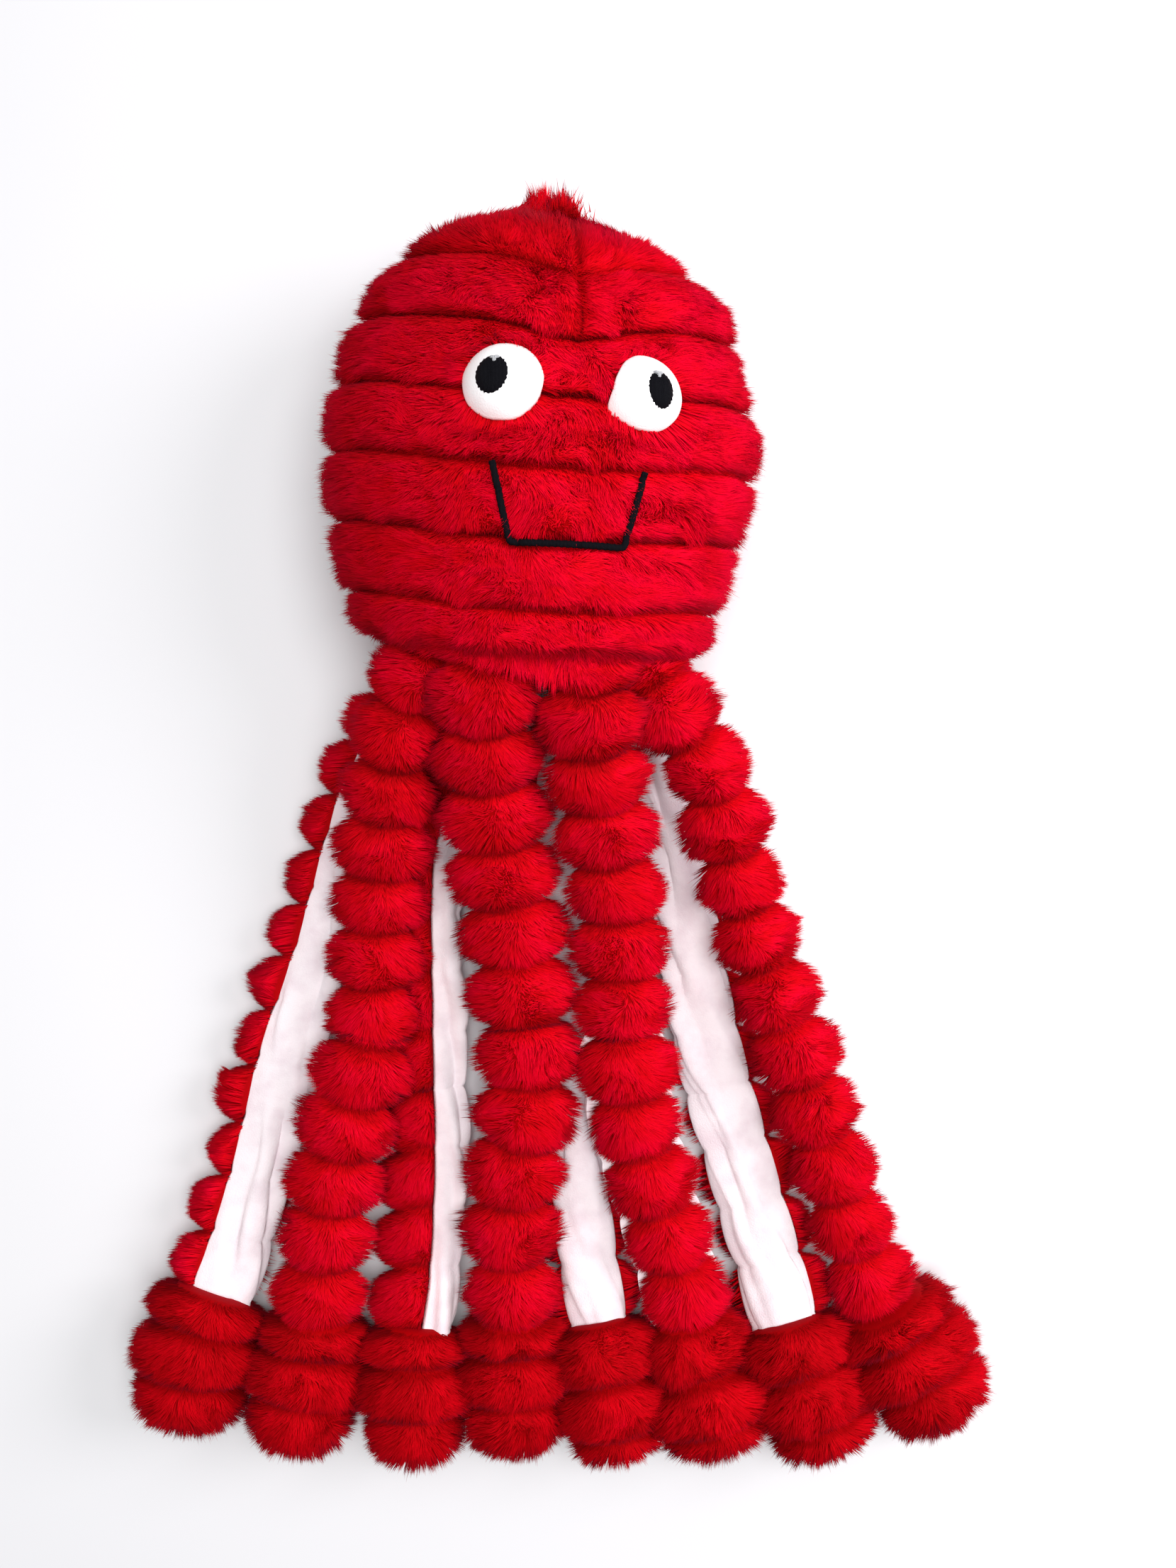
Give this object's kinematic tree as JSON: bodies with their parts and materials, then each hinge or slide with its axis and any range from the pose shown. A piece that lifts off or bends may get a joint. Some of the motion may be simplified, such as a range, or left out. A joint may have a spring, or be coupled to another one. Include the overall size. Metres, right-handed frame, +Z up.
{
  "type": "plush octopus toy",
  "caption": "Stuffed octopus lying on its back: ribbed long-pile head with eyes and mouth, and ribbed bending legs with boots.",
  "frame": {"origin": "under the middle of the toy, on the table that it lies on", "axes": "+Z up out of the table and the way the face looks, +Y towards the crown of the head, +X towards the right of the picture"},
  "size_m": [0.3846, 0.5618, 0.123],
  "materials": {
    "red_plush": "long-pile red faux fur, channel sewn",
    "white_lining": "short-pile white plush, creased",
    "eye_white": "short-pile white plush, padded",
    "black_embroidery": "satin stitch in black thread",
    "black_cord": "round twisted black cord",
    "stuffing_fibre": "white polyester fibre"
  },
  "bodies": {
    "head": {"face_panel": "red_plush", "forehead_left": "red_plush", "forehead_right": "red_plush", "head_back": "red_plush", "base_panel": "red_plush", "head_stuffing": "stuffing_fibre", "mouth_cord": "black_cord", "eye_left": "eye_white", "pupil_left": "black_embroidery", "eye_right": "eye_white", "pupil_right": "black_embroidery", "leg_1_tab": "red_plush", "leg_2_tab": "red_plush", "leg_3_tab": "red_plush", "leg_4_tab": "red_plush", "leg_5_tab": "red_plush", "leg_6_tab": "red_plush", "leg_7_tab": "red_plush", "leg_8_tab": "red_plush"},
    "leg_1_upper": {"leg_1_upper_ribs": "red_plush", "leg_1_upper_lining": "white_lining"},
    "leg_1_lower": {"leg_1_lower_ribs": "red_plush", "leg_1_lower_lining": "white_lining"},
    "leg_1_boot": {"leg_1_boot": "red_plush"},
    "leg_2_upper": {"leg_2_upper_ribs": "red_plush", "leg_2_upper_lining": "white_lining"},
    "leg_2_lower": {"leg_2_lower_ribs": "red_plush", "leg_2_lower_lining": "white_lining"},
    "leg_2_boot": {"leg_2_boot": "red_plush"},
    "leg_3_upper": {"leg_3_upper_ribs": "red_plush", "leg_3_upper_lining": "white_lining"},
    "leg_3_lower": {"leg_3_lower_ribs": "red_plush", "leg_3_lower_lining": "white_lining"},
    "leg_3_boot": {"leg_3_boot": "red_plush"},
    "leg_4_upper": {"leg_4_upper_ribs": "red_plush", "leg_4_upper_lining": "white_lining"},
    "leg_4_lower": {"leg_4_lower_ribs": "red_plush", "leg_4_lower_lining": "white_lining"},
    "leg_4_boot": {"leg_4_boot": "red_plush"},
    "leg_5_upper": {"leg_5_upper_ribs": "red_plush", "leg_5_upper_lining": "white_lining"},
    "leg_5_lower": {"leg_5_lower_ribs": "red_plush", "leg_5_lower_lining": "white_lining"},
    "leg_5_boot": {"leg_5_boot": "red_plush"},
    "leg_6_upper": {"leg_6_upper_ribs": "red_plush", "leg_6_upper_lining": "white_lining"},
    "leg_6_lower": {"leg_6_lower_ribs": "red_plush", "leg_6_lower_lining": "white_lining"},
    "leg_6_boot": {"leg_6_boot": "red_plush"},
    "leg_7_upper": {"leg_7_upper_ribs": "red_plush", "leg_7_upper_lining": "white_lining"},
    "leg_7_lower": {"leg_7_lower_ribs": "red_plush", "leg_7_lower_lining": "white_lining"},
    "leg_7_boot": {"leg_7_boot": "red_plush"},
    "leg_8_upper": {"leg_8_upper_ribs": "red_plush", "leg_8_upper_lining": "white_lining"},
    "leg_8_lower": {"leg_8_lower_ribs": "red_plush", "leg_8_lower_lining": "white_lining"},
    "leg_8_boot": {"leg_8_boot": "red_plush"}
  },
  "joints": [
    {"name": "leg_1_hip", "type": "hinge", "parent": "head", "child": "leg_1_upper", "pos_m": [-0.0588, 0.07966, 0.03357], "axis": [0.8079, -0.5893, 0], "range_deg": [0, 30]},
    {"name": "leg_1_knee", "type": "hinge", "parent": "leg_1_upper", "child": "leg_1_lower", "pos_m": [-0.14203, -0.12556, 0.0007], "axis": [0.9798, -0.2001, 0], "range_deg": [0, 45]},
    {"name": "leg_1_ankle", "type": "hinge", "parent": "leg_1_lower", "child": "leg_1_boot", "pos_m": [-0.16283, -0.20973, 0.00976], "axis": [0.9577, -0.2877, 0], "range_deg": [0, 27]},
    {"name": "leg_2_hip", "type": "hinge", "parent": "head", "child": "leg_2_upper", "pos_m": [-0.05972, 0.07998, 0.06752], "axis": [-0.9223, 0.3865, 0], "range_deg": [0, 30]},
    {"name": "leg_2_knee", "type": "hinge", "parent": "leg_2_upper", "child": "leg_2_lower", "pos_m": [-0.09229, -0.10844, 0.03896], "axis": [-0.9606, 0.278, 0], "range_deg": [0, 45]},
    {"name": "leg_2_ankle", "type": "hinge", "parent": "leg_2_lower", "child": "leg_2_boot", "pos_m": [-0.11277, -0.21811, 0.03128], "axis": [-0.9924, 0.1229, 0], "range_deg": [0, 27]},
    {"name": "leg_3_hip", "type": "hinge", "parent": "head", "child": "leg_3_upper", "pos_m": [-0.03176, 0.07688, 0.01936], "axis": [0.963, -0.2696, 0], "range_deg": [0, 30]},
    {"name": "leg_3_knee", "type": "hinge", "parent": "leg_3_upper", "child": "leg_3_lower", "pos_m": [-0.0605, -0.1405, 0.00033], "axis": [1, -0.0003, 0], "range_deg": [0, 45]},
    {"name": "leg_3_ankle", "type": "hinge", "parent": "leg_3_lower", "child": "leg_3_boot", "pos_m": [-0.06534, -0.22473, 0.01139], "axis": [0.9963, -0.086, 0], "range_deg": [0, 27]},
    {"name": "leg_4_hip", "type": "hinge", "parent": "head", "child": "leg_4_upper", "pos_m": [-0.02959, 0.0787, 0.08254], "axis": [-1, 0.004, 0], "range_deg": [0, 30]},
    {"name": "leg_4_knee", "type": "hinge", "parent": "leg_4_upper", "child": "leg_4_lower", "pos_m": [-0.01269, -0.10737, 0.04086], "axis": [-0.9989, 0.0473, 0], "range_deg": [0, 45]},
    {"name": "leg_4_ankle", "type": "hinge", "parent": "leg_4_lower", "child": "leg_4_boot", "pos_m": [-0.0206, -0.21866, 0.03139], "axis": [-1, -0.0056, 0], "range_deg": [0, 27]},
    {"name": "leg_5_hip", "type": "hinge", "parent": "head", "child": "leg_5_upper", "pos_m": [0.01223, 0.07655, 0.01927], "axis": [0.9945, -0.105, 0], "range_deg": [0, 30]},
    {"name": "leg_5_knee", "type": "hinge", "parent": "leg_5_upper", "child": "leg_5_lower", "pos_m": [0.01063, -0.14043, 0.00031], "axis": [1, -0.0065, 0], "range_deg": [0, 45]},
    {"name": "leg_5_ankle", "type": "hinge", "parent": "leg_5_lower", "child": "leg_5_boot", "pos_m": [0.02096, -0.22293, 0.0113], "axis": [0.9809, 0.1943, 0], "range_deg": [0, 27]},
    {"name": "leg_6_hip", "type": "hinge", "parent": "head", "child": "leg_6_upper", "pos_m": [0.01557, 0.07471, 0.08235], "axis": [-1, -0.0066, 0], "range_deg": [0, 30]},
    {"name": "leg_6_knee", "type": "hinge", "parent": "leg_6_upper", "child": "leg_6_lower", "pos_m": [0.03488, -0.11108, 0.04049], "axis": [-0.9894, -0.1453, 0], "range_deg": [0, 45]},
    {"name": "leg_6_ankle", "type": "hinge", "parent": "leg_6_lower", "child": "leg_6_boot", "pos_m": [0.06286, -0.21884, 0.03114], "axis": [-0.9804, -0.1969, 0], "range_deg": [0, 27]},
    {"name": "leg_7_hip", "type": "hinge", "parent": "head", "child": "leg_7_upper", "pos_m": [0.04252, 0.07851, 0.03278], "axis": [0.9788, 0.2049, 0], "range_deg": [0, 30]},
    {"name": "leg_7_knee", "type": "hinge", "parent": "leg_7_upper", "child": "leg_7_lower", "pos_m": [0.08719, -0.13942, 0.00094], "axis": [0.9627, 0.2706, 0], "range_deg": [0, 45]},
    {"name": "leg_7_ankle", "type": "hinge", "parent": "leg_7_lower", "child": "leg_7_boot", "pos_m": [0.10993, -0.22189, 0.01156], "axis": [0.9642, 0.265, 0], "range_deg": [0, 27]},
    {"name": "leg_8_hip", "type": "hinge", "parent": "head", "child": "leg_8_upper", "pos_m": [0.04571, 0.07864, 0.0672], "axis": [-0.8814, -0.4724, 0], "range_deg": [0, 30]},
    {"name": "leg_8_knee", "type": "hinge", "parent": "leg_8_upper", "child": "leg_8_lower", "pos_m": [0.11543, -0.10125, 0.03863], "axis": [-0.9466, -0.3224, 0], "range_deg": [0, 45]},
    {"name": "leg_8_ankle", "type": "hinge", "parent": "leg_8_lower", "child": "leg_8_boot", "pos_m": [0.15244, -0.20751, 0.0312], "axis": [-0.9051, -0.4252, 0], "range_deg": [0, 27]}
  ],
  "couplings": [
    {"joint": "leg_1_ankle", "follows": "leg_1_knee", "ratio": 0.6},
    {"joint": "leg_2_ankle", "follows": "leg_2_knee", "ratio": 0.6},
    {"joint": "leg_3_ankle", "follows": "leg_3_knee", "ratio": 0.6},
    {"joint": "leg_4_ankle", "follows": "leg_4_knee", "ratio": 0.6},
    {"joint": "leg_5_ankle", "follows": "leg_5_knee", "ratio": 0.6},
    {"joint": "leg_6_ankle", "follows": "leg_6_knee", "ratio": 0.6},
    {"joint": "leg_7_ankle", "follows": "leg_7_knee", "ratio": 0.6},
    {"joint": "leg_8_ankle", "follows": "leg_8_knee", "ratio": 0.6}
  ]
}
